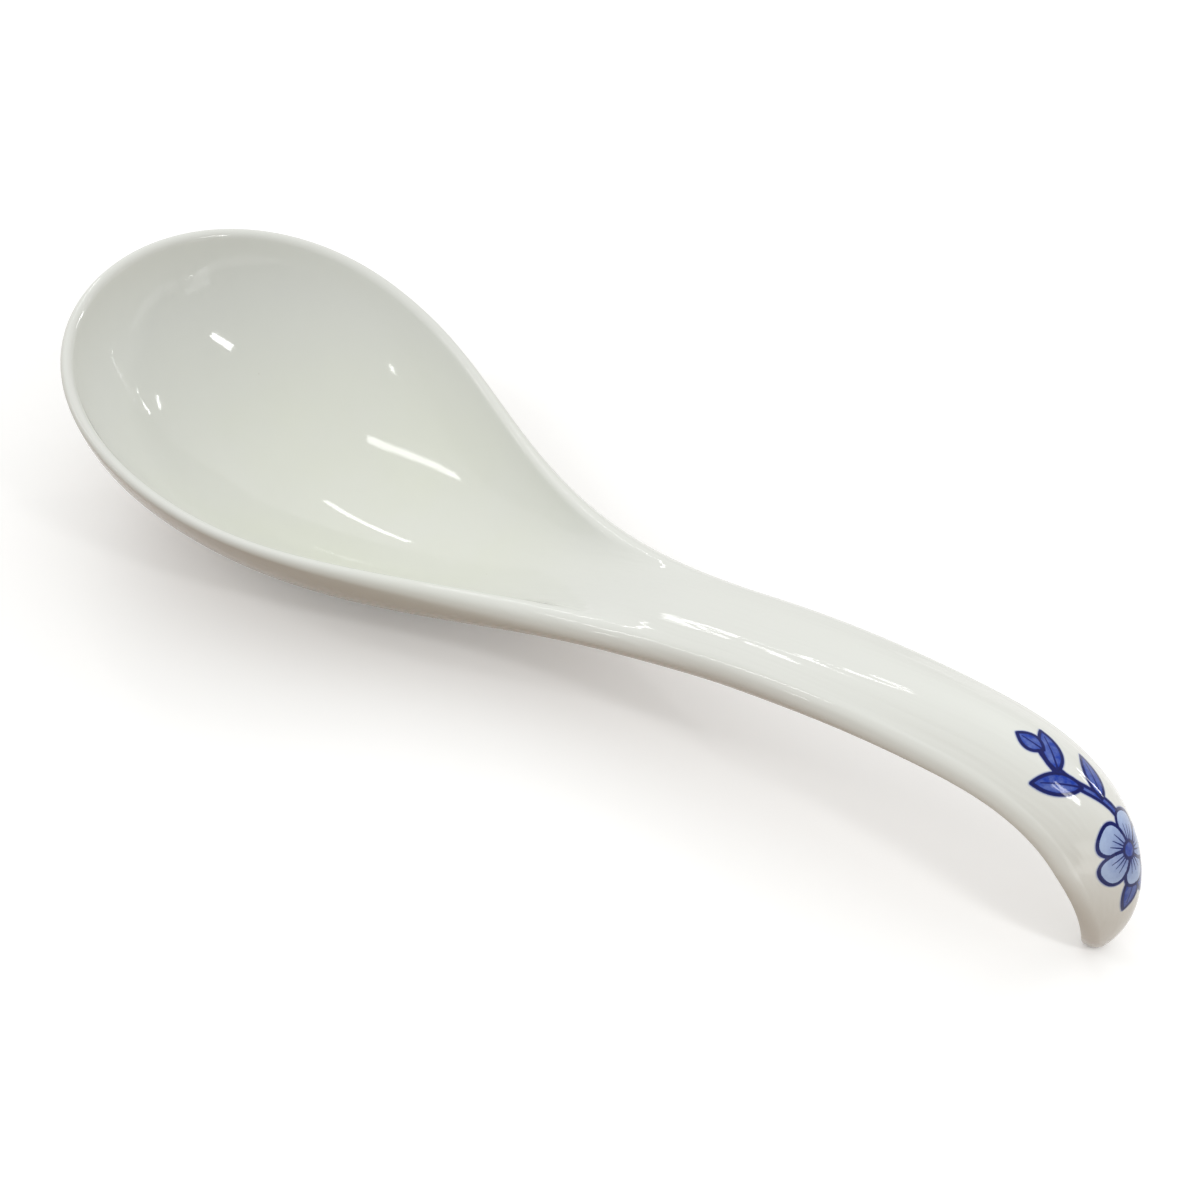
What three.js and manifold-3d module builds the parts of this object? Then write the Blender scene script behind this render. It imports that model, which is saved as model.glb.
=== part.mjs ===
// A porcelain soup spoon with a deep oval bowl and a handle that rises, arches over and hooks down.
// It lies as on a table, on the flat foot under its bowl and on a small flat under the tip of its handle.
// Millimetres and degrees, +X towards the handle, +Z up, origin at the middle of the foot.
import * as THREE from 'three';
import { TessellateModifier } from 'three/addons/modifiers/TessellateModifier.js';
import { mergeVertices } from 'three/addons/utils/BufferGeometryUtils.js';
import Module from 'manifold-3d';

// Lengths along the rim line, from the front of the bowl to the tip of the handle
const BOWL_FRONT_LENGTH = 39.5;
const SHOULDER_LENGTH = 109;
const HANDLE_LENGTH = 71;
const END_LENGTH = 29.5;

// Half widths of the outline, seen from above
const BOWL_HALF_WIDTH = 36;
const GRIP_HALF_WIDTH = 10.3;
const END_HALF_WIDTH = 9.9;

// How far the bowl's full width carries on, and how early the neck is down to the grip's width
const SHOULDER_HOLD = 33.5;
const NECK_HOLD = 60.5;

// The rim line's bends, each with the length that it takes
const RISE_ANGLE = 28.5;
const RISE_LENGTH = 104;
const BOW_ANGLE = 30;
const HOOK_ANGLE = 82;
const HOOK_LENGTH = 60;

// Bowl, grip and end sections
const BOWL_DEPTH = 28.7;
const BOWL_WALL = 3.4;
const GRIP_THICKNESS = 9.5;
const GRIP_CROWN = 0.9;
const END_CROWN = 4.1;
const END_BELOW = 5.1;
const RIM_INNER_RADIUS = 1.5;
const RIM_OUTER_RADIUS = 1;
const GRIP_EDGE_RADIUS = 3;
const END_EDGE_RADIUS = 3.6;
const BOWL_WALL_LEAN = 70;
const BOWL_FLARE = 16;
const GRIP_TOP_LEAN = -14;
const END_TOP_LEAN = -35;

// How far past the widest place the bowl's hollow, the lean of its wall and its belly hold, and then fade out
const HOLLOW_HOLD = 6;
const HOLLOW_FADE_LENGTH = 90;
const WALL_HOLD = 55;
const WALL_FADE_LENGTH = 45;
const BELLY_HOLD = 10;
const BELLY_FADE_LENGTH = 75;

// Glaze, its bond with the clay, the flats cut into the clay, and how far the glaze stops above them
const GLAZE_THICKNESS = 0.3;
const BOND_GAP = 0.05;
const FOOT_CUT = 0.85;
const TIP_CUT = 0.5;
const BARE_RELIEF = 0.4;

// Blue sprig printed on the hooked end: a blossom, and a stem with leaves and a bud that runs back from it
const BLOSSOM_FROM_TIP = 26;
const PETAL_COUNT = 5;
const PETAL_LENGTH = 6;
const PETAL_WIDTH = 5;
const EYE_RADIUS = 1.3;
const STEM_WIDTH = 1;
const STEM_LENGTH = 20;
const STEM_SWAY = 1.5;
const LEAF_LENGTH = 7.5;
const LEAF_WIDTH = 3.2;
const BUD_LENGTH = 4.6;
const BUD_WIDTH = 3;
const PRINT_THICKNESS = 0.15;
const PRINT_CLEARANCE = 0.3;

// Leaves on the stem, by share of the way back and turn, and the turns of those past the blossom
const STEM_LEAVES = [[0.42, 142], [0.58, 218], [0.78, 138]];
const TIP_LEAF_TURNS = [-24, 24];

// Fullness of the curves, as shares of their straight control lines
const FRONT_SIDE_FULLNESS = 0.55;
const FRONT_FULLNESS = 0.6;
const END_SIDE_FULLNESS = 0.3;
const END_TIP_FULLNESS = 0.43;
const TOP_FULLNESS = 0.48;
const WALL_FULLNESS = 0.38;
const END_WALL_FULLNESS = 0.06;
const BELOW_FULLNESS = 0.5;
const END_BELOW_FULLNESS = 0.42;
const LEAF_FULLNESS = 0.65;

// Facets along the outline, round half a section and on the print
const FRONT_STEPS = 8;
const SHOULDER_STEPS = 13;
const HANDLE_STEPS = 10;
const END_STEPS = 7;
const TOP_STEPS = 5;
const EDGE_STEPS = 6;
const BELOW_STEPS = 7;
const STEM_STEPS = 10;
const CURVE_STEPS = 4;
const PRINT_FACET = 2;

// Steps that sum up the rim line, and rounds that settle the spoon on its flats
const RIM_LINE_STEPS = 400;
const SETTLING_ROUNDS = 20;

// Places on the rim line
const WIDEST = BOWL_FRONT_LENGTH;
const GRIP = WIDEST + SHOULDER_LENGTH;
const END = GRIP + HANDLE_LENGTH;
const TIP = END + END_LENGTH;

const wasm = await Module();
wasm.setup();

const point = (x, y) => new THREE.Vector2(x, y);
const bezier = (...points) => new THREE.CubicBezierCurve(...points);
const { clamp, degToRad, lerp, smoothstep } = THREE.MathUtils;

// The outline's far half as [place on the rim line, half width], from the bowl's front to the tip
function halfOutline() {
  const taper = (1.5 * (END_HALF_WIDTH - GRIP_HALF_WIDTH)) / HANDLE_LENGTH;
  const third = HANDLE_LENGTH / 3;
  const roundOff = END_SIDE_FULLNESS * END_LENGTH;
  const front = bezier(
    point(0, 0),
    point(0, FRONT_SIDE_FULLNESS * BOWL_HALF_WIDTH),
    point(WIDEST - FRONT_FULLNESS * BOWL_FRONT_LENGTH, BOWL_HALF_WIDTH),
    point(WIDEST, BOWL_HALF_WIDTH),
  );
  const shoulder = bezier(
    point(WIDEST, BOWL_HALF_WIDTH),
    point(WIDEST + SHOULDER_HOLD, BOWL_HALF_WIDTH),
    point(GRIP - NECK_HOLD, GRIP_HALF_WIDTH),
    point(GRIP, GRIP_HALF_WIDTH),
  );
  const handle = bezier(
    point(GRIP, GRIP_HALF_WIDTH),
    point(GRIP + third, GRIP_HALF_WIDTH),
    point(END - third, END_HALF_WIDTH - taper * third),
    point(END, END_HALF_WIDTH),
  );
  const end = bezier(
    point(END, END_HALF_WIDTH),
    point(END + roundOff, END_HALF_WIDTH + taper * roundOff),
    point(TIP, END_TIP_FULLNESS * END_HALF_WIDTH),
    point(TIP, 0),
  );
  return [
    ...front.getPoints(FRONT_STEPS),
    ...shoulder.getPoints(SHOULDER_STEPS).slice(1),
    ...handle.getPoints(HANDLE_STEPS).slice(1),
    ...end.getPoints(END_STEPS).slice(1),
  ];
}

// Half a cross-section as [distance out, height over the rim line]: the top from its middle out,
// the rounded edge, and the underside back to its middle
function halfSection(place, reach) {
  const past = place - WIDEST;
  const hollow = smoothstep(past, HOLLOW_HOLD, HOLLOW_HOLD + HOLLOW_FADE_LENGTH);
  const wall = smoothstep(past, WALL_HOLD, WALL_HOLD + WALL_FADE_LENGTH);
  const belly = smoothstep(past, BELLY_HOLD, BELLY_HOLD + BELLY_FADE_LENGTH);
  const toEnd = smoothstep(place, GRIP, END);
  const blend = (toGrip, bowl, grip, end) => bowl + (grip - bowl) * toGrip + (end - grip) * toEnd;
  const top = blend(hollow, BOWL_WALL - BOWL_DEPTH, GRIP_CROWN, END_CROWN);
  const inner = blend(wall, RIM_INNER_RADIUS, GRIP_EDGE_RADIUS, END_EDGE_RADIUS);
  const lean = degToRad(blend(wall, BOWL_WALL_LEAN, GRIP_TOP_LEAN, END_TOP_LEAN));
  const wallFullness = blend(wall, WALL_FULLNESS, WALL_FULLNESS, END_WALL_FULLNESS);
  const below = blend(belly, BOWL_DEPTH, GRIP_THICKNESS, END_BELOW);
  const outer = blend(belly, RIM_OUTER_RADIUS, GRIP_EDGE_RADIUS, END_EDGE_RADIUS);
  const flare = degToRad(blend(belly, BOWL_FLARE, 0, 0));
  const belowFullness = blend(belly, BELOW_FULLNESS, BELOW_FULLNESS, END_BELOW_FULLNESS);
  const edge = Array.from({ length: EDGE_STEPS + 1 }, (_, i) => {
    const turn = lerp(Math.PI / 2 + lean, -flare, i / EDGE_STEPS);
    const radius = turn > Math.PI / 2 ? inner : outer;
    return point(reach - outer + radius * Math.cos(turn), radius * (Math.sin(turn) - 1));
  });
  const start = edge[0];
  const under = edge[EDGE_STEPS];
  const run = wallFullness * start.x;
  const drop = belowFullness * (below + under.y);
  const inside = bezier(
    point(0, top),
    point(TOP_FULLNESS * start.x, top),
    point(start.x - run * Math.cos(lean), start.y - run * Math.sin(lean)),
    start,
  );
  const outside = bezier(
    under,
    point(under.x - drop * Math.tan(flare), under.y - drop),
    point(belowFullness * reach, -below),
    point(0, -below),
  );
  return [
    ...inside.getPoints(TOP_STEPS),
    ...edge.slice(1),
    ...outside.getPoints(BELOW_STEPS).slice(1),
  ];
}

// Slope of the rim line: level at the bowl's front, up at the neck, bowed along the handle, down at the hook
function slopeAt(place) {
  const risen = WIDEST + RISE_LENGTH;
  const rise = RISE_ANGLE * smoothstep(place, WIDEST, risen);
  const bow = BOW_ANGLE * clamp((place - risen) / (TIP - risen), 0, 1);
  const hook = HOOK_ANGLE * smoothstep(place, TIP - HOOK_LENGTH, TIP);
  return degToRad(rise - bow - hook);
}

// Point in the spoon's middle plane at a height over the rim line, summed up along the slope
function overRimLine(place, height) {
  const step = place / RIM_LINE_STEPS;
  const at = new THREE.Vector3();
  for (let i = 0; i < RIM_LINE_STEPS; i++) {
    const slope = slopeAt((i + 0.5) * step);
    at.x += Math.cos(slope) * step;
    at.z += Math.sin(slope) * step;
  }
  const slope = slopeAt(place);
  return at.add(new THREE.Vector3(-Math.sin(slope), 0, Math.cos(slope)).multiplyScalar(height));
}

// Rows of surface points, one row for each point of the whole outline
function surfaceRows() {
  const far = halfOutline();
  const near = far.slice(1, -1).reverse().map((p) => point(p.x, -p.y));
  return [...far, ...near].map((rim) => {
    const middle = point(clamp(rim.x, WIDEST, END), 0);
    const reach = rim.distanceTo(middle);
    return halfSection(middle.x, reach).map((p) => {
      const share = p.x / reach;
      const spot = overRimLine(middle.x + (rim.x - middle.x) * share, p.y);
      return spot.setY(rim.y * share);
    });
  });
}

// The lowest point of some rows once they are posed
function lowest(rows, pose) {
  const spots = rows.flat().map((spot) => spot.clone().applyMatrix4(pose));
  return spots.reduce((low, spot) => (spot.z < low.z ? spot : low));
}

// Turn and lift that set the flats under the bowl and under the tip on one level
function restPose(rows) {
  const outline = halfOutline();
  const bowlRows = rows.filter((row, i) => outline[i]?.x < GRIP);
  const tipRows = rows.filter((row, i) => outline[i]?.x > END);
  const turned = new THREE.Matrix4();
  let turn = 0;
  for (let round = 0; round < SETTLING_ROUNDS; round++) {
    const bowl = lowest(bowlRows, turned);
    const tip = lowest(tipRows, turned);
    turn += (tip.z + TIP_CUT - bowl.z - FOOT_CUT) / (tip.x - bowl.x);
    turned.makeRotationY(turn);
  }
  const bowl = lowest(bowlRows, turned);
  const drop = bowl.z + GLAZE_THICKNESS + BOND_GAP + FOOT_CUT;
  return turned.premultiply(new THREE.Matrix4().makeTranslation(-bowl.x, 0, -drop));
}

// Closed surface over the rows, with the points that meet at the middle line merged
function closedSurface(rows) {
  const spots = [];
  for (const [i, row] of rows.entries()) {
    const next = rows[(i + 1) % rows.length];
    for (let k = 0; k + 1 < row.length; k++) {
      spots.push(row[k], next[k], next[k + 1], row[k], next[k + 1], row[k + 1]);
    }
  }
  return merged(new THREE.BufferGeometry().setFromPoints(spots));
}

// Geometry of positions alone, with shared vertices merged and empty triangles dropped
function merged(geometry) {
  const plain = new THREE.BufferGeometry().setAttribute('position', geometry.getAttribute('position'));
  if (geometry.index) {
    plain.setIndex(geometry.index);
  }
  const joined = mergeVertices(plain, 1e-4);
  const kept = [];
  const index = joined.index.array;
  for (let i = 0; i < index.length; i += 3) {
    const [a, b, c] = index.slice(i, i + 3);
    if (a !== b && b !== c && c !== a) {
      kept.push(a, b, c);
    }
  }
  joined.setIndex(kept);
  return joined;
}

// The same surface, shrunk inwards along its normals
function shrunk(surface, depth) {
  const inner = surface.clone();
  inner.computeVertexNormals();
  const position = inner.getAttribute('position');
  const normal = inner.getAttribute('normal');
  for (let i = 0; i < position.count; i++) {
    const spot = new THREE.Vector3().fromBufferAttribute(position, i);
    spot.addScaledVector(new THREE.Vector3().fromBufferAttribute(normal, i), -depth);
    position.setXYZ(i, spot.x, spot.y, spot.z);
  }
  inner.deleteAttribute('normal');
  return inner;
}

function toSolid(geometry) {
  const closed = merged(geometry);
  const vertProperties = new Float32Array(closed.getAttribute('position').array);
  const triVerts = new Uint32Array(closed.index.array);
  return new wasm.Manifold(new wasm.Mesh({ numProp: 3, vertProperties, triVerts }));
}

function toGeometry(solid) {
  const mesh = solid.getMesh();
  const geometry = new THREE.BufferGeometry();
  geometry.setAttribute('position', new THREE.BufferAttribute(mesh.vertProperties, 3));
  geometry.setIndex(new THREE.BufferAttribute(mesh.triVerts, 1));
  return geometry;
}

// Everything under a level, as a block that reaches past the spoon
function blockBelow(level) {
  const side = 4 * TIP;
  return toSolid(new THREE.BoxGeometry(side, side, side).translate(0, 0, level - side / 2));
}

// A pointed leaf from the origin along +X
function leafShape(length, width) {
  const leaf = new THREE.Shape();
  const side = LEAF_FULLNESS * width;
  leaf.bezierCurveTo(length / 4, side, LEAF_FULLNESS * length, side, length, 0);
  leaf.bezierCurveTo(LEAF_FULLNESS * length, -side, length / 4, -side, 0, 0);
  return leaf;
}

// A round petal from the origin along +X
function petalShape() {
  const petal = new THREE.Shape();
  const side = LEAF_FULLNESS * PETAL_WIDTH;
  petal.bezierCurveTo(PETAL_LENGTH / 2, side, PETAL_LENGTH, side, PETAL_LENGTH, 0);
  petal.bezierCurveTo(PETAL_LENGTH, -side, PETAL_LENGTH / 2, -side, 0, 0);
  return petal;
}

function eyeShape() {
  return new THREE.Shape().absarc(0, 0, EYE_RADIUS, 0, 2 * Math.PI);
}

// How far the stem has swayed aside at a distance back from the blossom
const swayAt = (back) => STEM_SWAY * Math.sin((2 * Math.PI * back) / STEM_LENGTH);

function stemShape() {
  const along = Array.from({ length: STEM_STEPS + 1 }, (_, i) => (STEM_LENGTH * i) / STEM_STEPS);
  const upper = along.map((back) => point(-back, swayAt(back) + STEM_WIDTH / 2));
  const lower = along.map((back) => point(-back, swayAt(back) - STEM_WIDTH / 2)).reverse();
  return new THREE.Shape([...upper, ...lower]);
}

// One flat piece of the sprig, turned and moved to its place, as a solid of unit height
function flatPiece(shape, turn, x, y) {
  const flat = new THREE.ExtrudeGeometry(shape, { depth: 1, bevelEnabled: false, curveSegments: CURVE_STEPS });
  return toSolid(flat.rotateZ(degToRad(turn)).translate(x, y, 0));
}

// The whole sprig laid flat, with the blossom at the origin and the stem running back along -X
function flatSprig() {
  const leaf = leafShape(LEAF_LENGTH, LEAF_WIDTH);
  const bud = leafShape(BUD_LENGTH, BUD_WIDTH);
  const pieces = [flatPiece(stemShape(), 0, 0, 0), flatPiece(eyeShape(), 0, 0, 0)];
  for (let i = 0; i < PETAL_COUNT; i++) {
    pieces.push(flatPiece(petalShape(), (360 / PETAL_COUNT) * i, 0, 0));
  }
  for (const [share, turn] of STEM_LEAVES) {
    const back = share * STEM_LENGTH;
    pieces.push(flatPiece(leaf, turn, -back, swayAt(back)));
  }
  for (const turn of TIP_LEAF_TURNS) {
    pieces.push(flatPiece(leaf, turn, PETAL_LENGTH / 2, 0));
  }
  pieces.push(flatPiece(bud, 180, STEM_WIDTH - STEM_LENGTH, swayAt(STEM_LENGTH)));
  return pieces.reduce((all, piece) => all.add(piece));
}

// The sprig as a thin film that follows the glazed surface of the hooked end
function sprigOn(surface, pose) {
  const target = new THREE.Mesh(surface);
  const fine = new TessellateModifier(PRINT_FACET, 8).modify(toGeometry(flatSprig()).toNonIndexed());
  const position = fine.getAttribute('position');
  const height = BOWL_HALF_WIDTH;
  const ray = new THREE.Raycaster();
  for (let i = 0; i < position.count; i++) {
    const spot = new THREE.Vector3().fromBufferAttribute(position, i);
    const place = TIP - BLOSSOM_FROM_TIP + spot.x;
    const foot = overRimLine(place, 0).setY(spot.y).applyMatrix4(pose);
    const over = overRimLine(place, height).setY(spot.y).applyMatrix4(pose);
    const down = foot.sub(over).normalize();
    ray.set(over, down);
    const hit = ray.intersectObject(target)[0].point;
    hit.addScaledVector(down, -(PRINT_CLEARANCE + spot.z * PRINT_THICKNESS));
    position.setXYZ(i, hit.x, hit.y, hit.z);
  }
  return merged(fine);
}

function part(name, geometry, color, roughness) {
  const shown = geometry.toNonIndexed();
  shown.computeVertexNormals();
  const mesh = new THREE.Mesh(shown, new THREE.MeshStandardMaterial({ color, roughness, metalness: 0 }));
  mesh.name = name;
  return mesh;
}

// Distance along X from the origin to the middle of the flat foot
function footMiddle(geometry) {
  const flat = new THREE.Box3();
  const position = geometry.getAttribute('position');
  for (let i = 0; i < position.count; i++) {
    if (Math.abs(position.getZ(i)) < BOND_GAP && position.getX(i) < SHOULDER_LENGTH) {
      flat.expandByPoint(new THREE.Vector3().fromBufferAttribute(position, i));
    }
  }
  return flat.getCenter(new THREE.Vector3()).x;
}

const rows = surfaceRows();
const pose = restPose(rows);
const glazed = closedSurface(rows).applyMatrix4(pose);
const clay = shrunk(glazed, GLAZE_THICKNESS + BOND_GAP);
const body = toGeometry(toSolid(clay).subtract(blockBelow(0)));
const coat = toSolid(glazed).subtract(toSolid(shrunk(glazed, GLAZE_THICKNESS)));
const glaze = toGeometry(coat.subtract(blockBelow(BARE_RELIEF)));

const pieces = new THREE.Group();
pieces.position.x = -footMiddle(body);
pieces.add(part('porcelain_body', body, 0xe8e4d8, 0.75));
pieces.add(part('glaze_coat', glaze, 0xe3e5dc, 0.1));
pieces.add(part('blue_decoration', sprigOn(glazed, pose), 0x22409a, 0.15));

const spoon = new THREE.Group();
spoon.add(pieces);

export default spoon;
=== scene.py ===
"""A porcelain soup spoon: a clay body under a glossy off-white glaze, with a blue sprig on the hooked end.

Metres, +X towards the handle, +Z up, origin at the middle of the foot.
"""

import math

import bmesh
import bpy
import numpy as np
from mathutils import Matrix, Vector, noise
from mathutils.bvhtree import BVHTree
from mathutils.interpolate import poly_3d_calc


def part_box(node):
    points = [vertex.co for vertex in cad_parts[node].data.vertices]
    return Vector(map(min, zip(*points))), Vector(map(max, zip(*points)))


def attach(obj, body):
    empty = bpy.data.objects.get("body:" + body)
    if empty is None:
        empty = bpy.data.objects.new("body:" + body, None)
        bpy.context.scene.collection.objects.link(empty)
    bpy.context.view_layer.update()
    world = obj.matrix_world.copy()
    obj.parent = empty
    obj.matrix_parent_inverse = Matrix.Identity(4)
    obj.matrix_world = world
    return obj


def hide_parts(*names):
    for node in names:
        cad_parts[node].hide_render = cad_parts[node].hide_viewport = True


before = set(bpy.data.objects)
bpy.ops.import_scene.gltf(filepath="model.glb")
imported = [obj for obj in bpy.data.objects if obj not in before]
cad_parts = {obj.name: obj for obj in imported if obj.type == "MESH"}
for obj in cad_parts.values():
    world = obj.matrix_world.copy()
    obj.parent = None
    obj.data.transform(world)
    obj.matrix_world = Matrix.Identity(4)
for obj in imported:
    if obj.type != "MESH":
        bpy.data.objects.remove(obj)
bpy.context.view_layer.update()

# Lengths along the rim line, from the front of the bowl to the tip of the handle
BOWL_FRONT_LENGTH = 0.0395
SHOULDER_LENGTH = 0.109
HANDLE_LENGTH = 0.071
END_LENGTH = 0.0295

# Half widths of the outline, seen from above
BOWL_HALF_WIDTH = 0.036
GRIP_HALF_WIDTH = 0.0103
END_HALF_WIDTH = 0.0099
SHOULDER_HOLD = 0.0335
NECK_HOLD = 0.0605

# The rim line's bends in degrees, each with the length that it takes
RISE_ANGLE = 28.5
RISE_LENGTH = 0.104
BOW_ANGLE = 30
HOOK_ANGLE = 82
HOOK_LENGTH = 0.06

# Bowl, grip and end sections
BOWL_DEPTH = 0.0287
BOWL_WALL = 0.0034
HOLLOW_HOLD = 0.006
HOLLOW_FADE_LENGTH = 0.090
WALL_HOLD = 0.055
WALL_FADE_LENGTH = 0.045
BELLY_HOLD = 0.010
BELLY_FADE_LENGTH = 0.075
GRIP_THICKNESS = 0.0095
GRIP_CROWN = 0.0009
END_CROWN = 0.0041
END_BELOW = 0.0051
RIM_INNER_RADIUS = 0.0015
RIM_OUTER_RADIUS = 0.001
GRIP_EDGE_RADIUS = 0.003
END_EDGE_RADIUS = 0.0036
BOWL_WALL_LEAN = 70
BOWL_FLARE = 16
GRIP_TOP_LEAN = -14
END_TOP_LEAN = -35

# Glaze, its bond with the clay, the flats cut into the clay, and how far the glaze stops above them
GLAZE_THICKNESS = 0.0003
BOND_GAP = 0.00005
FOOT_CUT = 0.00085
TIP_CUT = 0.0005
BARE_RELIEF = 0.0004

# The outline's slope at the end of the handle, as a share of its mean slope along the handle
HANDLE_END_SLOPE = 1.5

# Fullness of the curves, as shares of their straight control lines
FRONT_SIDE_FULLNESS = 0.55
FRONT_FULLNESS = 0.6
END_SIDE_FULLNESS = 0.3
END_TIP_FULLNESS = 0.43
TOP_FULLNESS = 0.48
WALL_FULLNESS = 0.38
END_WALL_FULLNESS = 0.06
BELOW_FULLNESS = 0.5
END_BELOW_FULLNESS = 0.42
LEAF_FULLNESS = 0.65

# Blue sprig on the hooked end: a blossom, and a stem with leaves and a bud that runs back from it
BLOSSOM_FROM_TIP = 0.026
PETAL_COUNT = 5
PETAL_LENGTH = 0.006
PETAL_WIDTH = 0.005
EYE_RADIUS = 0.0013
STEM_WIDTH = 0.001
STEM_LENGTH = 0.020
STEM_SWAY = 0.0015
LEAF_LENGTH = 0.0075
LEAF_WIDTH = 0.0032
BUD_LENGTH = 0.0046
BUD_WIDTH = 0.003
STEM_LEAVES = [(0.42, 142), (0.58, 218), (0.78, 138)]
TIP_LEAF_TURNS = [-24, 24]

# The print: its line, vein and bleed widths, how it lies in the glaze, and the grid that it is drawn on
LINE_WIDTH = 0.00055
VEIN_WIDTH = 0.00036
BLEED_WIDTH = 0.0003
PRINT_RISE = 0.00002
PRINT_SINK = 0.00005
PRINT_PITCH = 0.0001
PRINT_BACK = 0.027
PRINT_AHEAD = 0.012
PRINT_HALF_WIDTH = 0.0075

# Depths in the drawing that are nearer to zero than this count as just outside
PRINT_MARGIN = PRINT_PITCH / 50

# Shares in the drawing: the stem's taper, how far the veins run, and how pale the paint is, from 0 to 1
STEM_TAPER = (1.2, 0.8)
RIB_RUN = 0.82
PETAL_VEIN_RUN = 0.62
PETAL_VEIN_ASIDES = (-0.2, 0, 0.2)
STEM_PALENESS = 0.12
EYE_PALENESS = 0.06
LEAF_PALENESS = 0.03
LEAF_PALING = 0.22
PETAL_PALENESS = 0.3
PETAL_PALING = 0.8

# Steps along the outline and round half a section
FRONT_STEPS = 44
SHOULDER_STEPS = 64
HANDLE_STEPS = 44
END_STEPS = 44
TOP_STEPS = 30
EDGE_STEPS = 14
BELOW_STEPS = 34
RIM_LINE_STEPS = 4000
SETTLING_ROUNDS = 20
CURVE_STEPS = 16

# Points nearer than this are joined, on the surface and along a cut, and the tolerance of a cut
JOIN_DISTANCE = 0.000001
CUT_JOIN_DISTANCE = 0.000002
CUT_TOLERANCE = 0.0000001

# Edges that turn by more degrees than this are shaded sharp
SHARP_ANGLE = 40

# The unevenness of a moulded, fired surface: height and size of its waves
WAVES = [(0.00004, 0.034), (0.000012, 0.011)]

WIDEST = BOWL_FRONT_LENGTH
GRIP = WIDEST + SHOULDER_LENGTH
END = GRIP + HANDLE_LENGTH
TIP = END + END_LENGTH


def smoothstep(value, low, high):
    """A share that goes from 0 to 1 between two values, with a soft start and end."""
    share = np.clip((value - low) / (high - low), 0, 1)
    return share * share * (3 - 2 * share)


def cubic(a, b, c, d, steps):
    """Points of a cubic curve, both ends included."""
    t = np.linspace(0, 1, steps + 1)[:, None]
    a, b, c, d = (np.array(p, float) for p in (a, b, c, d))
    return (1 - t) ** 3 * a + 3 * (1 - t) ** 2 * t * b + 3 * (1 - t) * t**2 * c + t**3 * d


def half_outline():
    """The outline's far half as (place on the rim line, half width), from the bowl's front to the tip."""
    taper = HANDLE_END_SLOPE * (END_HALF_WIDTH - GRIP_HALF_WIDTH) / HANDLE_LENGTH
    third = HANDLE_LENGTH / 3
    round_off = END_SIDE_FULLNESS * END_LENGTH
    front = cubic(
        (0, 0),
        (0, FRONT_SIDE_FULLNESS * BOWL_HALF_WIDTH),
        (WIDEST - FRONT_FULLNESS * BOWL_FRONT_LENGTH, BOWL_HALF_WIDTH),
        (WIDEST, BOWL_HALF_WIDTH),
        FRONT_STEPS,
    )
    shoulder = cubic(
        (WIDEST, BOWL_HALF_WIDTH),
        (WIDEST + SHOULDER_HOLD, BOWL_HALF_WIDTH),
        (GRIP - NECK_HOLD, GRIP_HALF_WIDTH),
        (GRIP, GRIP_HALF_WIDTH),
        SHOULDER_STEPS,
    )
    handle = cubic(
        (GRIP, GRIP_HALF_WIDTH),
        (GRIP + third, GRIP_HALF_WIDTH),
        (END - third, END_HALF_WIDTH - taper * third),
        (END, END_HALF_WIDTH),
        HANDLE_STEPS,
    )
    end = cubic(
        (END, END_HALF_WIDTH),
        (END + round_off, END_HALF_WIDTH + taper * round_off),
        (TIP, END_TIP_FULLNESS * END_HALF_WIDTH),
        (TIP, 0),
        END_STEPS,
    )
    return np.concatenate([front, shoulder[1:], handle[1:], end[1:]])


def half_section(place, reach):
    """Half a cross-section as (distance out, height over the rim line): top, rounded edge, underside."""
    past = place - WIDEST
    hollow = smoothstep(past, HOLLOW_HOLD, HOLLOW_HOLD + HOLLOW_FADE_LENGTH)
    wall = smoothstep(past, WALL_HOLD, WALL_HOLD + WALL_FADE_LENGTH)
    belly = smoothstep(past, BELLY_HOLD, BELLY_HOLD + BELLY_FADE_LENGTH)
    to_end = smoothstep(place, GRIP, END)

    def blend(to_grip, bowl, grip, end):
        return bowl + (grip - bowl) * to_grip + (end - grip) * to_end

    top = blend(hollow, BOWL_WALL - BOWL_DEPTH, GRIP_CROWN, END_CROWN)
    inner = blend(wall, RIM_INNER_RADIUS, GRIP_EDGE_RADIUS, END_EDGE_RADIUS)
    lean = math.radians(blend(wall, BOWL_WALL_LEAN, GRIP_TOP_LEAN, END_TOP_LEAN))
    wall_fullness = blend(wall, WALL_FULLNESS, WALL_FULLNESS, END_WALL_FULLNESS)
    below = blend(belly, BOWL_DEPTH, GRIP_THICKNESS, END_BELOW)
    outer = blend(belly, RIM_OUTER_RADIUS, GRIP_EDGE_RADIUS, END_EDGE_RADIUS)
    flare = math.radians(blend(belly, BOWL_FLARE, 0, 0))
    below_fullness = blend(belly, BELOW_FULLNESS, BELOW_FULLNESS, END_BELOW_FULLNESS)
    turn = np.linspace(math.pi / 2 + lean, -flare, EDGE_STEPS + 1)
    radius = np.where(turn > math.pi / 2, inner, outer)
    rounding = np.stack([reach - outer + radius * np.cos(turn), radius * np.sin(turn) - radius], -1)
    start, under = rounding[0], rounding[-1]
    run = wall_fullness * start[0]
    drop = below_fullness * (below + under[1])
    inside = cubic(
        (0, top),
        (TOP_FULLNESS * start[0], top),
        start - run * np.array([math.cos(lean), math.sin(lean)]),
        start,
        TOP_STEPS,
    )
    outside = cubic(
        under,
        (under[0] - drop * math.tan(flare), under[1] - drop),
        (below_fullness * reach, -below),
        (0, -below),
        BELOW_STEPS,
    )
    return np.concatenate([inside, rounding[1:], outside[1:]])


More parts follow.
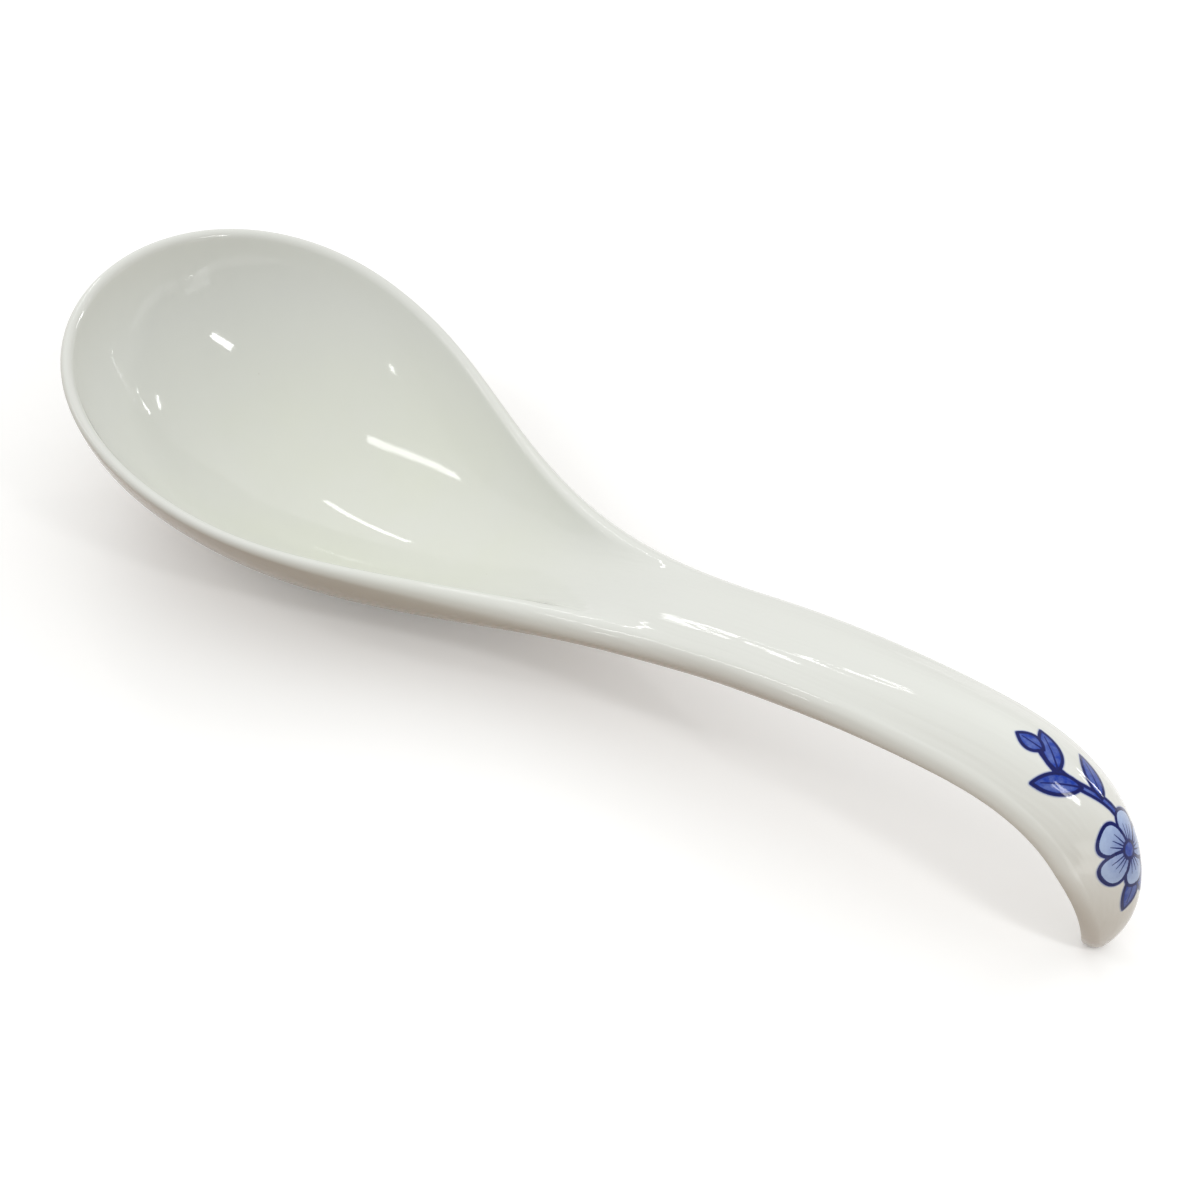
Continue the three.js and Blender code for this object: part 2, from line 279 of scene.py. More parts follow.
def slope_at(place):
    """Slope of the rim line: level in the bowl, up at the neck, bowed along the handle, hooked down."""
    risen = WIDEST + RISE_LENGTH
    rise = RISE_ANGLE * smoothstep(place, WIDEST, risen)
    bow = BOW_ANGLE * np.clip((place - risen) / (TIP - risen), 0, 1)
    hook = HOOK_ANGLE * smoothstep(place, TIP - HOOK_LENGTH, TIP)
    return np.radians(rise - bow - hook)


line_places = np.linspace(0, TIP, RIM_LINE_STEPS + 1)
line_slopes = slope_at((line_places[1:] + line_places[:-1]) / 2)
line_step = TIP / RIM_LINE_STEPS
line_x = np.concatenate([[0], np.cumsum(np.cos(line_slopes) * line_step)])
line_z = np.concatenate([[0], np.cumsum(np.sin(line_slopes) * line_step)])


def over_rim_line(place, y, height):
    """Points at a height over the rim line, before the spoon is laid down."""
    slope = slope_at(place)
    x = np.interp(place, line_places, line_x) - np.sin(slope) * height
    z = np.interp(place, line_places, line_z) + np.cos(slope) * height
    return np.stack([x, y + 0 * x, z], -1)


def surface_rows():
    """Points of the glazed surface's far half, one row for each point of the outline."""
    rows = []
    for place, width in half_outline():
        middle = min(max(place, WIDEST), END)
        reach = math.hypot(place - middle, width)
        section = half_section(middle, reach)
        share = section[:, 0] / reach
        rows.append(over_rim_line(middle + (place - middle) * share, width * share, section[:, 1]))
    return np.array(rows)


def turned(points, turn):
    """Points turned about the Y axis."""
    c, s = math.cos(turn), math.sin(turn)
    x, y, z = np.moveaxis(points, -1, 0)
    return np.stack([x * c + z * s, y, z * c - x * s], -1)


def rest_pose(rows):
    """Turn and shift that set the flats under the bowl and under the tip on one level."""
    outline = half_outline()
    bowl_points = rows[outline[:, 0] < GRIP].reshape(-1, 3)
    tip_points = rows[outline[:, 0] > END].reshape(-1, 3)
    turn = 0
    for _ in range(SETTLING_ROUNDS):
        bowl = min(turned(bowl_points, turn), key=lambda p: p[2])
        tip = min(turned(tip_points, turn), key=lambda p: p[2])
        turn += (tip[2] + TIP_CUT - bowl[2] - FOOT_CUT) / (tip[0] - bowl[0])
    laid = turned(rows, turn)
    drop = laid[outline[:, 0] < GRIP][..., 2].min() + GLAZE_THICKNESS + BOND_GAP + FOOT_CUT
    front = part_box("glaze_coat")[0].x - laid[..., 0].min()
    return turn, np.array([front, 0, -drop])


def waviness(spot):
    """Small uneven height of the fired surface at a point."""
    return sum(height * noise.noise(spot / size) for height, size in WAVES)


def glazed_surface(half):
    """The whole glazed outside as one closed mesh, from the far half's rows."""
    near = half[-2:0:-1] * [1, -1, 1]
    rows = np.concatenate([half, near])
    bm = bmesh.new()
    grid = [[bm.verts.new(spot) for spot in row] for row in rows]
    for i, row in enumerate(grid):
        after = grid[(i + 1) % len(grid)]
        for k in range(len(row) - 1):
            bm.faces.new((row[k], after[k], after[k + 1], row[k + 1]))
    bmesh.ops.remove_doubles(bm, verts=bm.verts, dist=JOIN_DISTANCE)
    bmesh.ops.recalc_face_normals(bm, faces=bm.faces)
    bm.normal_update()
    moves = [v.normal * waviness(v.co) for v in bm.verts]
    for v, move in zip(bm.verts, moves):
        v.co += move
    bm.normal_update()
    return bm


def shrunk(bm, depth):
    """A copy of a closed surface, moved inwards along its normals."""
    inner = bm.copy()
    inner.normal_update()
    moves = [v.normal * depth for v in inner.verts]
    for v, move in zip(inner.verts, moves):
        v.co -= move
    return inner


def cut_below(bm, level):
    """Cuts a surface level and takes away what lies below, and gives the edges of the openings."""
    geometry = [*bm.verts, *bm.edges, *bm.faces]
    plane = {"plane_co": (0, 0, level), "plane_no": (0, 0, 1)}
    bmesh.ops.bisect_plane(bm, geom=geometry, dist=CUT_TOLERANCE, clear_inner=True, **plane)
    bmesh.ops.remove_doubles(bm, verts=bm.verts, dist=CUT_JOIN_DISTANCE)
    return [e for e in bm.edges if e.is_boundary]


def clay_body(glazed):
    """The clay under the glaze, cut flat at the foot and under the tip."""
    bm = shrunk(glazed, GLAZE_THICKNESS + BOND_GAP)
    bmesh.ops.holes_fill(bm, edges=cut_below(bm, 0), sides=0)
    bmesh.ops.recalc_face_normals(bm, faces=bm.faces)
    return bm


def glaze_coat(glazed):
    """The glaze as a thin closed shell, open where the foot and the tip are bare."""
    bm = glazed.copy()
    inside = shrunk(glazed, GLAZE_THICKNESS)
    bmesh.ops.reverse_faces(inside, faces=inside.faces)
    lining = bpy.data.meshes.new("lining")
    inside.to_mesh(lining)
    inside.free()
    bm.from_mesh(lining)
    bpy.data.meshes.remove(lining)
    rims = cut_below(bm, BARE_RELIEF)
    for at_tip in (False, True):
        pair = [e for e in rims if (e.verts[0].co.x > SHOULDER_LENGTH) == at_tip]
        bmesh.ops.bridge_loops(bm, edges=pair)
    bmesh.ops.recalc_face_normals(bm, faces=bm.faces)
    return bm


def sway_at(back):
    """How far the stem has swayed aside at a distance back from the blossom."""
    return STEM_SWAY * np.sin(2 * np.pi * back / STEM_LENGTH)


def placed(loop, turn, x, y):
    """A flat loop turned by some degrees and moved."""
    c, s = math.cos(math.radians(turn)), math.sin(math.radians(turn))
    return loop @ np.array([[c, s], [-s, c]]) + [x, y]


def both_sides(far):
    """A closed loop from its far half."""
    return np.concatenate([far, far[-2:0:-1] * [1, -1]])


def leaf_loop(length, width):
    """Outline of a pointed leaf along X."""
    side = LEAF_FULLNESS * width
    far = cubic((0, 0), (length / 4, side), (LEAF_FULLNESS * length, side), (length, 0), CURVE_STEPS)
    return both_sides(far)


def petal_loop():
    """Outline of a petal that points along X, round at its end."""
    side = LEAF_FULLNESS * PETAL_WIDTH
    far = cubic((0, 0), (PETAL_LENGTH / 2, side), (PETAL_LENGTH, side), (PETAL_LENGTH, 0), CURVE_STEPS)
    return both_sides(far)


def segment_shares(points, a, b):
    """Distance of points from a straight segment, and the share along it of the nearest spot."""
    run = b - a
    share = np.clip(((points - a) @ run) / (run @ run), 0, 1)
    return np.linalg.norm(points - a - share[..., None] * run, axis=-1), share


def depth_in_loop(points, loop):
    """How deep points lie inside a closed loop, negative outside it."""
    nearest = np.full(points.shape[:-1], np.inf)
    inside = np.zeros(points.shape[:-1], bool)
    x, y = points[..., 0], points[..., 1]
    for a, b in zip(loop, np.roll(loop, -1, axis=0)):
        nearest = np.minimum(nearest, segment_shares(points, a, b)[0])
        if a[1] != b[1]:
            crosses = (a[1] > y) != (b[1] > y)
            inside ^= crosses & (x < a[0] + (y - a[1]) * (b[0] - a[0]) / (b[1] - a[1]))
    return np.where(inside, nearest, -nearest)


def depth_in_stroke(points, path, widths):
    """How deep points lie inside a brush stroke whose width changes along its path."""
    depth = np.full(points.shape[:-1], -np.inf)
    for a, b, wide_a, wide_b in zip(path, path[1:], widths, widths[1:]):
        distance, share = segment_shares(points, a, b)
        depth = np.maximum(depth, (wide_a + (wide_b - wide_a) * share) / 2 - distance)
    return depth


def sprig_fields():
    """Flat fields over the print: depth in lines, depth under any paint, and how pale the paint is."""
    along = np.arange(-PRINT_BACK, PRINT_AHEAD, PRINT_PITCH)
    across = np.arange(-PRINT_HALF_WIDTH, PRINT_HALF_WIDTH + PRINT_PITCH, PRINT_PITCH)
    points = np.stack(np.meshgrid(along, across, indexing="ij"), -1)
    half = LINE_WIDTH / 2
    lines = np.full(points.shape[:-1], -1.0)
    cover = np.full(points.shape[:-1], -1.0)
    pale = np.zeros(points.shape[:-1])

    def paint(depth, paleness, veins=()):
        """One painted shape with its outline and veins, over what is there already."""
        nonlocal lines, cover, pale
        inside = depth > half
        lines = np.where(inside, half - depth, np.maximum(lines, half - np.abs(depth)))
        cover = np.maximum(cover, depth + half)
        pale = np.where(inside, paleness, pale)
        for path, widths in veins:
            vein = np.minimum(depth_in_stroke(points, np.array(path), widths), depth)
            lines = np.maximum(lines, vein)

    def paint_leaf(length, width, turn, x, y):
        depth = depth_in_loop(points, placed(leaf_loop(length, width), turn, x, y))
        local = placed(points - [x, y], -turn, 0, 0)
        side = np.clip(0.5 + local[..., 1] / width, 0, 1)
        paleness = LEAF_PALENESS + LEAF_PALING * side * np.clip(depth / (width / 4), 0, 1)
        rib = placed(np.array([(0.0, 0.0), (RIB_RUN * length, 0.0)]), turn, x, y)
        paint(depth, paleness, [(rib, [VEIN_WIDTH, VEIN_WIDTH / 2])])

    back = np.linspace(0, STEM_LENGTH, CURVE_STEPS)
    stem = np.stack([-back, sway_at(back)], -1)
    stem_depth = depth_in_stroke(points, stem, np.linspace(*STEM_TAPER, CURVE_STEPS) * STEM_WIDTH)
    paint(stem_depth, np.full(stem_depth.shape, STEM_PALENESS))
    for share, turn in STEM_LEAVES:
        paint_leaf(LEAF_LENGTH, LEAF_WIDTH, turn, -share * STEM_LENGTH, sway_at(share * STEM_LENGTH))
    paint_leaf(BUD_LENGTH, BUD_WIDTH, 180, STEM_WIDTH - STEM_LENGTH, sway_at(STEM_LENGTH))
    for turn in TIP_LEAF_TURNS:
        paint_leaf(LEAF_LENGTH, LEAF_WIDTH, turn, PETAL_LENGTH / 2, 0)
    for i in range(PETAL_COUNT):
        turn = 360 / PETAL_COUNT * i
        depth = depth_in_loop(points, placed(petal_loop(), turn, 0, 0))
        out = np.linalg.norm(points, axis=-1) / PETAL_LENGTH
        veins = []
        for aside in PETAL_VEIN_ASIDES:
            vein = np.array([(0.0, 0.0), (PETAL_VEIN_RUN * PETAL_LENGTH, aside * PETAL_WIDTH)])
            veins.append((placed(vein, turn, 0, 0), [VEIN_WIDTH, VEIN_WIDTH / 3]))
        paint(depth, np.clip(PETAL_PALENESS + PETAL_PALING * out, 0, 1), veins)
    eye = EYE_RADIUS - np.linalg.norm(points, axis=-1)
    paint(eye, np.full(eye.shape, EYE_PALENESS))
    return points, lines, cover, pale


def cells_where(field):
    """Loops of grid cells where a field is positive, cut along its zero line.

    Each point of a loop is a pair of grid corners and the share of the way between them.
    """
    field = np.where(np.abs(field) < PRINT_MARGIN, -PRINT_MARGIN, field)
    loops = []
    touched = np.maximum.reduce([field[:-1, :-1], field[1:, :-1], field[1:, 1:], field[:-1, 1:]]) > 0
    for i, j in zip(*np.nonzero(touched)):
        corners = [(i, j), (i + 1, j), (i + 1, j + 1), (i, j + 1)]
        loop = []
        for a, b in zip(corners, corners[1:] + corners[:1]):
            if field[a] > 0:
                loop.append((a, a, 0.0))
            if (field[a] > 0) != (field[b] > 0):
                low, high = sorted((a, b))
                loop.append((low, high, field[low] / (field[low] - field[high])))
        loops.append(loop)
    return loops


def print_film(field, points, tone, tree, glaze, pose):
    """A thin closed film where a flat field is positive, with its smooth normals and its tones."""
    loops = cells_where(field)
    keys = list(dict.fromkeys(key for loop in loops for key in loop))
    index = {key: i for i, key in enumerate(keys)}
    flat = np.array([points[a] + (points[b] - points[a]) * share for a, b, share in keys])
    tones = np.array([tone[a] + (tone[b] - tone[a]) * share for a, b, share in keys])
    place = TIP - BLOSSOM_FROM_TIP + flat[:, 0]
    turn, shift = pose
    above = turned(over_rim_line(place, flat[:, 1], END_HALF_WIDTH), turn) + shift
    under = turned(over_rim_line(place, flat[:, 1], 0), turn) + shift
    bm = bmesh.new()
    tops, unders, normals = [], [], []
    for start, target in zip(above, under):
        down = Vector(target - start).normalized()
        hit, _, face, _ = tree.ray_cast(Vector(start), down)
        corners = [glaze.vertices[v] for v in glaze.polygons[face].vertices]
        weights = poly_3d_calc([corner.co for corner in corners], hit)
        normal = sum((corner.normal * w for corner, w in zip(corners, weights)), Vector())
        tops.append(bm.verts.new(hit - down * PRINT_RISE))
        unders.append(bm.verts.new(hit + down * PRINT_SINK))
        normals.append(normal.normalized())
    for loop in loops:
        ring = [index[key] for key in loop]
        bm.faces.new([tops[i] for i in ring])
        bm.faces.new([unders[i] for i in reversed(ring)])
    partner = dict(zip(tops, unders))
    for edge in [e for e in bm.edges if e.is_boundary and e.verts[0] in partner]:
        a, b = (loop.vert for loop in (edge.link_loops[0], edge.link_loops[0].link_loop_next))
        bm.faces.new((b, a, partner[a], partner[b]))
    up_and_down = [way for normal in normals for way in (normal, -normal)]
    return bm, up_and_down, np.repeat(tones, 2).astype(np.float32)


def connect(tree, value, socket):
    """Feeds a socket with a plain value or with another node's output."""
    if isinstance(value, bpy.types.NodeSocket):
        tree.links.new(value, socket)
    else:
        socket.default_value = value


def add_node(tree, kind, settings=None, **inputs):
    """A shader node with its settings and inputs, each input a value or another node's output."""
    made = tree.nodes.new(kind)
    for key, value in (settings or {}).items():
        setattr(made, key, value)
    for key, value in inputs.items():
        connect(tree, value, made.inputs[key.replace("_", " ")])
    return made


def arithmetic(tree, operation, a, b, kind="ShaderNodeMath"):
    """A node that works out one value from two."""
    made = add_node(tree, kind, {"operation": operation})
    connect(tree, a, made.inputs[0])
    connect(tree, b, made.inputs[1])
    return made


def product(tree, a, b):
    """One value times another."""
    return arithmetic(tree, "MULTIPLY", a, b).outputs[0]


def mixed(tree, share, a, b):
    """Colour between two colours by a share."""
    made = add_node(tree, "ShaderNodeMix", {"data_type": "RGBA"})
    connect(tree, share, made.inputs[0])
    for socket, value in ((made.inputs[6], a), (made.inputs[7], b)):
        connect(tree, (*value, 1) if isinstance(value, tuple) else value, socket)
    return made.outputs[2]


def noise_at(tree, spot, scale, detail=3.0, rough=0.55):
    """Uneven cloud at a spot, with so many waves in a metre."""
    made = add_node(tree, "ShaderNodeTexNoise", Vector=spot, Scale=scale, Detail=detail, Roughness=rough)
    return made.outputs[0]


def remapped(tree, value, span, to_span=(0.0, 1.0)):
    """A value stretched from one range to another and held at its ends."""
    made = add_node(tree, "ShaderNodeMapRange", {"clamp": True}, Value=value)
    for name, limit in zip(("From Min", "From Max", "To Min", "To Max"), (*span, *to_span)):
        connect(tree, limit, made.inputs[name])
    return made.outputs[0]


def coordinate(tree, spot, axis):
    """How far a spot lies along one axis of the spoon."""
    return add_node(tree, "ShaderNodeSeparateXYZ", Vector=spot).outputs[axis]


def bumped(tree, shader, *layers):
    """Bumps of several heights, one over the other."""
    normal = None
    for height, depth in layers:
        made = add_node(tree, "ShaderNodeBump", Height=height, Distance=depth)
        if normal is not None:
            tree.links.new(normal, made.inputs["Normal"])
        normal = made.outputs[0]
    tree.links.new(normal, shader.inputs["Normal"])


def new_material(name):
    """A new material with its nodes, its shader and the spot on the spoon."""
    material = bpy.data.materials.new(name)
    material.use_nodes = True
    tree = material.node_tree
    shader = tree.nodes["Principled BSDF"]
    spot = add_node(tree, "ShaderNodeTexCoord").outputs["Object"]
    return material, tree, shader, spot


# Glaze colours: where it lies thin, where it pools in the bowl's depth, and its iron specks
GLAZE_COLOR = (0.78, 0.792, 0.752)
GLAZE_POOLED = (0.762, 0.787, 0.69)
GLAZE_SPECK = (0.42, 0.36, 0.27)

# Pooling: its clouds' scale and range, how much pools, and where it fades along X and with height
CLOUD_SCALE = 28.0
CLOUD_SPAN = (0.35, 0.68)
POOL_SHARES = (0.35, 1.0)
POOL_FADE_ALONG = (0.03, 0.09)
POOL_FADE_UP = (0.006, 0.026)

# Specks: cells per metre, a speck's soft edge in its cell, which cells have one, and how dark it is
SPECK_SCALE = 210.0
SPECK_EDGE = (0.02, 0.055)
SPECK_CHANCE = (0.80, 0.86)
SPECK_SHARES = (0.0, 0.5)


def glaze_tone(tree, spot):
    """The glaze's off-white, a little greener where it pools in the bowl, with a few tiny iron specks."""
    thick = remapped(tree, noise_at(tree, spot, CLOUD_SCALE), CLOUD_SPAN, POOL_SHARES)
    in_bowl = remapped(tree, coordinate(tree, spot, "X"), POOL_FADE_ALONG, (1.0, 0.0))
    deep = remapped(tree, coordinate(tree, spot, "Z"), POOL_FADE_UP, (1.0, 0.0))
    pooled = product(tree, thick, product(tree, deep, in_bowl))
    body = mixed(tree, pooled, GLAZE_COLOR, GLAZE_POOLED)
    cells = add_node(tree, "ShaderNodeTexVoronoi", Vector=spot, Scale=SPECK_SCALE)
    near = remapped(tree, cells.outputs["Distance"], SPECK_EDGE, (1.0, 0.0))
    rare = remapped(tree, cells.outputs["Color"], SPECK_CHANCE, SPECK_SHARES)
    return mixed(tree, product(tree, near, rare), body, GLAZE_SPECK)


# Gloss: the glaze's index, its shine alone and over the print, and its roughness from fresh to worn
GLAZE_INDEX = 1.52
GLAZE_SHINE = 0.5
PRINT_SHINE = 0.25
WEAR_SCALE = 60.0
WEAR_SPAN = (0.3, 0.75)
GLOSS_ROUGHNESS = (0.035, 0.085)

# Relief of the gloss: its noise per metre and its depth, and the handle's strokes, drawn out along X
RIPPLE_SCALE = 95.0
RIPPLE_DEPTH = 0.00004
PITTING_SCALE = 1100.0
PITTING_DEPTH = 0.0000015
STROKE_SCALE = 800.0
STROKE_DEPTH = 0.00009
STROKE_STRETCH = (0.03, 1, 0.3)
STROKE_START = (0.035, 0.06)


def glaze_gloss(tree, shader, spot, shine):
    """Gloss of the fired glaze: nearly smooth, with a slow ripple, strokes, pitting and worn patches."""
    wear = noise_at(tree, spot, WEAR_SCALE, detail=6.0, rough=0.65)
    tree.links.new(remapped(tree, wear, WEAR_SPAN, GLOSS_ROUGHNESS), shader.inputs["Roughness"])
    shader.inputs["IOR"].default_value = GLAZE_INDEX
    shader.inputs["Specular IOR Level"].default_value = shine
    ripple = noise_at(tree, spot, RIPPLE_SCALE, detail=2.0, rough=0.5)
    pitting = noise_at(tree, spot, PITTING_SCALE, detail=2.0, rough=0.5)
    drawn_out = arithmetic(tree, "MULTIPLY", spot, STROKE_STRETCH, "ShaderNodeVectorMath").outputs[0]
    on_handle = remapped(tree, coordinate(tree, spot, "X"), STROKE_START)
    strokes = product(tree, noise_at(tree, drawn_out, STROKE_SCALE, detail=1.0, rough=0.5), on_handle)
    bumped(tree, shader, (ripple, RIPPLE_DEPTH), (strokes, STROKE_DEPTH), (pitting, PITTING_DEPTH))


def glaze_material():
    """The off-white glaze with its gloss."""
    material, tree, shader, spot = new_material("glaze")
    tree.links.new(glaze_tone(tree, spot), shader.inputs["Base Color"])
    glaze_gloss(tree, shader, spot, GLAZE_SHINE)
    return material


# Bare clay: its pale, warm and grain colours, its noise per metre, and its roughness and grain
CLAY_PALE = (0.74, 0.70, 0.62)
CLAY_WARM = (0.62, 0.57, 0.48)
CLAY_GRAIN = (0.5, 0.44, 0.36)
CLAY_CLOUD_SCALE = 120.0
CLAY_CLOUD_SPAN = (0.3, 0.7)
CLAY_GRAIN_SCALE = 2400.0
CLAY_GRAIN_SPAN = (0.55, 0.75)
CLAY_GRAIN_SHARES = (0.0, 0.5)
CLAY_GRAIN_DEPTH = 0.00004
CLAY_ROUGHNESS = (0.65, 0.85)


def clay_material():
    """Bare fired porcelain: matt, warm white and grainy."""
    material, tree, shader, spot = new_material("bare_porcelain")
    cloud = noise_at(tree, spot, CLAY_CLOUD_SCALE, detail=5.0, rough=0.6)
    grain = noise_at(tree, spot, CLAY_GRAIN_SCALE, detail=3.0, rough=0.6)
    body = mixed(tree, remapped(tree, cloud, CLAY_CLOUD_SPAN), CLAY_PALE, CLAY_WARM)
    grainy = mixed(tree, remapped(tree, grain, CLAY_GRAIN_SPAN, CLAY_GRAIN_SHARES), body, CLAY_GRAIN)
    tree.links.new(grainy, shader.inputs["Base Color"])
    tree.links.new(remapped(tree, cloud, CLAY_CLOUD_SPAN, CLAY_ROUGHNESS), shader.inputs["Roughness"])
    bumped(tree, shader, (grain, CLAY_GRAIN_DEPTH))
    return material


# Cobalt blues: lines from dark to light, washes from dark to pale, the bleed, and how the tone flows
NAVY = (0.002, 0.004, 0.085)
COBALT = (0.006, 0.024, 0.25)
WASH_DARK = (0.006, 0.040, 0.36)
WASH_PALE = (0.42, 0.54, 0.80)
BLEED_BLUE = (0.06, 0.12, 0.42)
FLOW_SCALE = 900.0
FLOW_SPAN = (0.3, 0.7)
FLOW_SHARES = (-0.12, 0.12)


def film_tone(tree):
    """The tone that a print film carries at each of its points."""
    return add_node(tree, "ShaderNodeAttribute", {"attribute_name": "tone"}).outputs["Fac"]


def cobalt_material(name, dark, light):
    """Cobalt blue under the glaze's gloss, from dark to light by the film's tone, flowing a little."""
    material, tree, shader, spot = new_material(name)
    uneven = noise_at(tree, spot, FLOW_SCALE, detail=4.0, rough=0.6)
    flow = remapped(tree, uneven, FLOW_SPAN, FLOW_SHARES)
    tone = arithmetic(tree, "ADD", film_tone(tree), flow)
    tone.use_clamp = True
    tree.links.new(mixed(tree, tone.outputs[0], dark, light), shader.inputs["Base Color"])
    glaze_gloss(tree, shader, spot, PRINT_SHINE)
    return material


def bleed_material():
    """The blue haze round the print, which fades into the glaze by the film's tone."""
    material, tree, shader, spot = new_material("cobalt_bleed")
    faded = mixed(tree, film_tone(tree), BLEED_BLUE, glaze_tone(tree, spot))
    tree.links.new(faded, shader.inputs["Base Color"])
    glaze_gloss(tree, shader, spot, GLAZE_SHINE)
    return material


def add_piece(name, bm, material, node=None, normals=None, tones=None):
    """A finished piece of the spoon, riding on its one body."""
    mesh = bpy.data.meshes.new(name)
    bm.to_mesh(mesh)
    bm.free()
    mesh.materials.append(material)
    mesh.shade_smooth()
    if normals is None:
        mesh.set_sharp_from_angle(angle=math.radians(SHARP_ANGLE))
    else:
        mesh.normals_split_custom_set_from_vertices(normals)
        mesh.attributes.new("tone", "FLOAT", "POINT").data.foreach_set("value", tones)
    piece = bpy.data.objects.new(name, mesh)
    bpy.context.scene.collection.objects.link(piece)
    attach(piece, "root")
    if node:
        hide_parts(node)


def add_sprig(glazed, pose):
    """The blue print as three films side by side: its lines, its washes, and the haze round them."""
    points, lines, cover, pale = sprig_fields()
    line_tone = np.clip(0.5 - lines / LINE_WIDTH, 0, 1)
    bleed = np.minimum(cover + BLEED_WIDTH, -np.maximum(cover, lines))
    bleed_tone = np.sqrt(np.clip(-cover / BLEED_WIDTH, 0, 1))
    line_blue = cobalt_material("cobalt_lines", NAVY, COBALT)
    wash_blue = cobalt_material("cobalt_washes", WASH_DARK, WASH_PALE)
    layers = [
        ("sprig_lines", lines, line_tone, line_blue, "blue_decoration"),
        ("sprig_washes", np.minimum(cover, -lines), pale, wash_blue, None),
        ("sprig_bleed", bleed, bleed_tone, bleed_material(), None),
    ]
    surface = bpy.data.meshes.new("glazed_outside")
    glazed.to_mesh(surface)
    tree = BVHTree.FromBMesh(glazed)
    for name, field, tone, material, node in layers:
        film, normals, tones = print_film(field, points, tone, tree, surface, pose)
        add_piece(name, film, material, node, normals, tones)
    bpy.data.meshes.remove(surface)


# Floor: its size and place, its colour as it is seen and as it throws light back, and its glow
FLOOR_SIZE = 60.0
FLOOR_DROP = 0.0001
FLOOR_COLOR = (0.96, 0.96, 0.96)
FLOOR_BOUNCE = (0.21, 0.10, 0.01)
FLOOR_GLOW = 0.16
FLOOR_ROUGHNESS = 0.9


def seen_ray(tree):
    """One for rays that show what is behind the spoon, zero for rays that light it."""
    path = add_node(tree, "ShaderNodeLightPath").outputs
    first = arithmetic(tree, "MAXIMUM", path["Is Camera Ray"], path["Is Glossy Ray"]).outputs[0]
    return arithmetic(tree, "MAXIMUM", first, path["Is Transmission Ray"]).outputs[0]


def add_floor():
    """A pale matt floor that keeps the spoon's shadow."""
    bm = bmesh.new()
    bmesh.ops.create_grid(bm, x_segments=2, y_segments=2, size=FLOOR_SIZE / 2)
    mesh = bpy.data.meshes.new("floor")
    bm.to_mesh(mesh)
    bm.free()
    material, tree, shader, _ = new_material("floor")
    shader.inputs["Roughness"].default_value = FLOOR_ROUGHNESS
    shader.inputs["Specular IOR Level"].default_value = 0.0
    shader.inputs["Emission Color"].default_value = (1, 1, 1, 1)
    seen = seen_ray(tree)
    tree.links.new(mixed(tree, seen, FLOOR_BOUNCE, FLOOR_COLOR), shader.inputs["Base Color"])
    tree.links.new(product(tree, seen, FLOOR_GLOW), shader.inputs["Emission Strength"])
    mesh.materials.append(material)
    floor = bpy.data.objects.new("floor", mesh)
    floor.location.z = -FLOOR_DROP
    bpy.context.scene.collection.objects.link(floor)


# Studio light: its brightness at the horizon, as it lights and as it is seen, and overhead
HORIZON_LIGHT = 0.35
HORIZON_SEEN = 0.62
OVERHEAD_LIGHT = 1.05
LIGHT_COLOR = (1, 1, 0.985, 1)

# How much brighter the room is beyond the bowl's front, and that side's turn from -Y in degrees
SIDE_LIGHT = 0.28
SIDE_AZIMUTH = 248


def add_world():
    """A soft room, brightest overhead and beyond the bowl's front."""
    world = bpy.data.worlds.new("studio")
    world.use_nodes = True
    bpy.context.scene.world = world
    tree = world.node_tree
    sky = tree.nodes["Background"]
    way = add_node(tree, "ShaderNodeTexCoord").outputs["Generated"]
    horizon = remapped(tree, seen_ray(tree), (0.0, 1.0), (HORIZON_LIGHT, HORIZON_SEEN))
    height = remapped(tree, coordinate(tree, way, "Z"), (0.0, 1.0), (horizon, OVERHEAD_LIGHT))
    az = math.radians(SIDE_AZIMUTH)
    to_side = (math.sin(az), -math.cos(az), 0)
    facing = arithmetic(tree, "DOT_PRODUCT", way, to_side, "ShaderNodeVectorMath").outputs["Value"]
    side = remapped(tree, facing, (-1.0, 1.0), (1 - SIDE_LIGHT, 1 + SIDE_LIGHT))
    sky.inputs["Color"].default_value = LIGHT_COLOR
    tree.links.new(product(tree, height, side), sky.inputs["Strength"])


# Lamps that shine down: their ends in X and Y, height, width and brightness
TUBES = [
    ((-0.47, -0.44), (-1.75, -0.80), 1.0, 0.07, 7.5),
    ((-0.46, 0.48), (-1.25, 0.75), 1.0, 0.06, 7.5),
    ((0.327, -0.105), (0.523, -0.062), 0.38, 0.045, 17.0),
    ((-0.95, -1.78), (-1.05, -1.78), 1.0, 0.14, 14.0),
    ((0.97, 1.82), (1.25, 1.77), 1.0, 0.12, 16.0),
    ((1.04, 2.80), (1.90, 3.85), 1.0, 0.16, 20.0),
    ((1.90, 3.85), (3.10, 5.35), 1.0, 0.36, 26.0),
]

# A pale card that throws light back at the hooked end: its place, what it faces, its size and brightness
CARD_PLACE = (0.295, -0.052, 0.03)
CARD_FACES = (0.163, -0.004, 0.012)
CARD_LENGTH = 0.10
CARD_WIDTH = 0.08
CARD_LIGHT = 1.0


def add_lamp(name, place, turn, length, width, brightness):
    """A flat lamp that lights the spoon and shows in its gloss, but not in the view itself."""
    lamp = bpy.data.lights.new(name, "AREA")
    lamp.shape = "RECTANGLE"
    lamp.size = length
    lamp.size_y = width
    lamp.energy = brightness * math.pi * length * width
    holder = bpy.data.objects.new(name, lamp)
    holder.location = place
    holder.rotation_euler = turn
    holder.visible_camera = False
    bpy.context.scene.collection.objects.link(holder)


